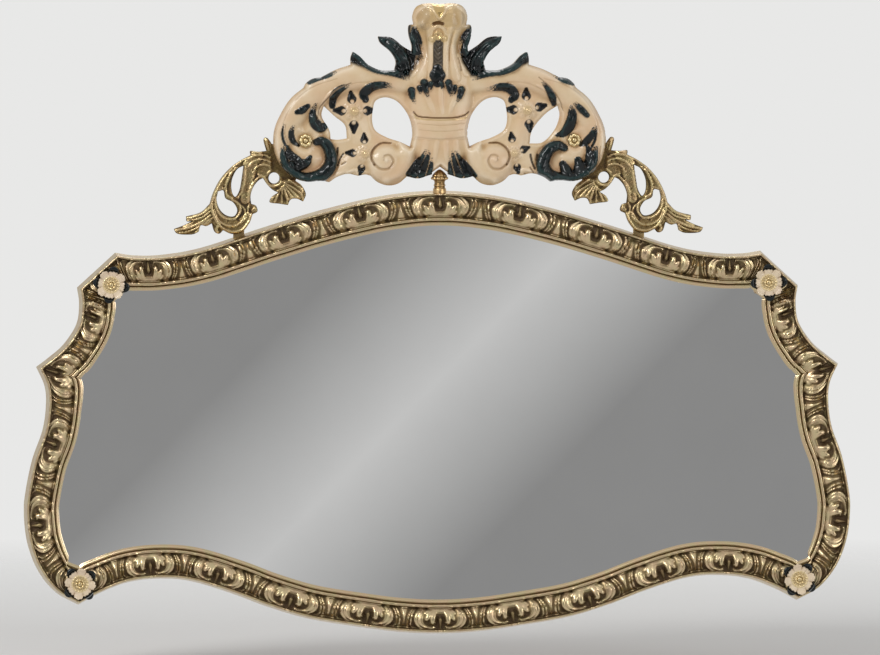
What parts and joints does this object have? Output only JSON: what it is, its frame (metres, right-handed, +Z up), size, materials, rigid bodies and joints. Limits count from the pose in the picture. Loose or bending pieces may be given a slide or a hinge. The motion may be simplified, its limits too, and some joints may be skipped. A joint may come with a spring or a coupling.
{
  "type": "wall mirror",
  "caption": "Wide wall mirror in a cast brass baroque frame with corner flowers, a glazed porcelain crest on openwork brackets, and rings on the back for hanging.",
  "frame": {"origin": "midway between the two hanging rings' pivots, in the plane of the wall", "axes": "+X to the right of a person who looks at the mirror, +Y into the wall, +Z up"},
  "size_m": [1.2, 0.0395, 0.9105],
  "materials": {
    "cast_brass": "cast, darkened in the recesses, rubbed bright on the high parts",
    "bracket_brass": "cast, darkened in the recesses, rubbed bright on the high parts",
    "turned_brass": "turned and lacquered",
    "gilt": "gilt, glossy",
    "porcelain": "glazed, cream with painted dark teal leaves and gilt lines",
    "silvered_glass": "silvered flat glass",
    "hardboard": "pressed board, smooth side out",
    "leather": "plain cut washer",
    "zinc_steel": "zinc plated"
  },
  "bodies": {
    "frame": {"frame_top_rail": "cast_brass", "frame_bottom_rail": "cast_brass", "frame_left_upper": "cast_brass", "frame_left_lower": "cast_brass", "frame_right_upper": "cast_brass", "frame_right_lower": "cast_brass", "corner_plate_top_left": "zinc_steel", "corner_plate_top_right": "zinc_steel", "corner_plate_bottom_left": "zinc_steel", "corner_plate_bottom_right": "zinc_steel", "side_plate_left": "zinc_steel", "side_plate_right": "zinc_steel", "plate_screws": "zinc_steel", "mirror_glass": "silvered_glass", "backing_board": "hardboard", "button_screws": "zinc_steel", "flower_top_left": "porcelain", "flower_top_right": "porcelain", "flower_bottom_left": "porcelain", "flower_bottom_right": "porcelain", "flower_bolts": "gilt", "flower_nuts": "zinc_steel", "flower_washers": "leather", "crest": "porcelain", "crest_bolts": "gilt", "crest_washers": "leather", "crest_nuts": "zinc_steel", "crest_stem": "turned_brass", "stem_nut": "zinc_steel", "bracket_left": "bracket_brass", "bracket_right": "bracket_brass", "bracket_screws": "zinc_steel", "hanger_plate_left": "zinc_steel", "hanger_plate_right": "zinc_steel", "hanger_screws": "zinc_steel"},
    "hanger_ring_left": {"hanger_ring_left": "zinc_steel"},
    "hanger_ring_right": {"hanger_ring_right": "zinc_steel"},
    "turn_button_1": {"turn_button_1": "zinc_steel"},
    "turn_button_2": {"turn_button_2": "zinc_steel"},
    "turn_button_3": {"turn_button_3": "zinc_steel"},
    "turn_button_4": {"turn_button_4": "zinc_steel"},
    "turn_button_5": {"turn_button_5": "zinc_steel"},
    "turn_button_6": {"turn_button_6": "zinc_steel"},
    "turn_button_7": {"turn_button_7": "zinc_steel"},
    "turn_button_8": {"turn_button_8": "zinc_steel"}
  },
  "joints": [
    {"name": "hanger_ring_left_swing", "type": "hinge", "parent": "frame", "child": "hanger_ring_left", "pos_m": [-0.402, -0.0036, 0], "axis": [1, 0, 0], "range_deg": [0, 180]},
    {"name": "hanger_ring_right_swing", "type": "hinge", "parent": "frame", "child": "hanger_ring_right", "pos_m": [0.402, -0.0036, 0], "axis": [1, 0, 0], "range_deg": [0, 180]},
    {"name": "turn_button_1_turn", "type": "hinge", "parent": "frame", "child": "turn_button_1", "pos_m": [0.19647, -0.007, 0.059], "axis": [0, 1, 0], "range_deg": [-90, 90]},
    {"name": "turn_button_2_turn", "type": "hinge", "parent": "frame", "child": "turn_button_2", "pos_m": [0.54165, -0.007, -0.22535], "axis": [0, 1, 0], "range_deg": [-90, 90]},
    {"name": "turn_button_3_turn", "type": "hinge", "parent": "frame", "child": "turn_button_3", "pos_m": [0.56407, -0.007, -0.36474], "axis": [0, 1, 0], "range_deg": [-90, 90]},
    {"name": "turn_button_4_turn", "type": "hinge", "parent": "frame", "child": "turn_button_4", "pos_m": [0.19257, -0.007, -0.4543], "axis": [0, 1, 0], "range_deg": [-90, 90]},
    {"name": "turn_button_5_turn", "type": "hinge", "parent": "frame", "child": "turn_button_5", "pos_m": [-0.19647, -0.007, 0.059], "axis": [0, 1, 0], "range_deg": [-90, 90]},
    {"name": "turn_button_6_turn", "type": "hinge", "parent": "frame", "child": "turn_button_6", "pos_m": [-0.54165, -0.007, -0.22535], "axis": [0, 1, 0], "range_deg": [-90, 90]},
    {"name": "turn_button_7_turn", "type": "hinge", "parent": "frame", "child": "turn_button_7", "pos_m": [-0.56407, -0.007, -0.36474], "axis": [0, 1, 0], "range_deg": [-90, 90]},
    {"name": "turn_button_8_turn", "type": "hinge", "parent": "frame", "child": "turn_button_8", "pos_m": [-0.19257, -0.007, -0.4543], "axis": [0, 1, 0], "range_deg": [-90, 90]}
  ]
}
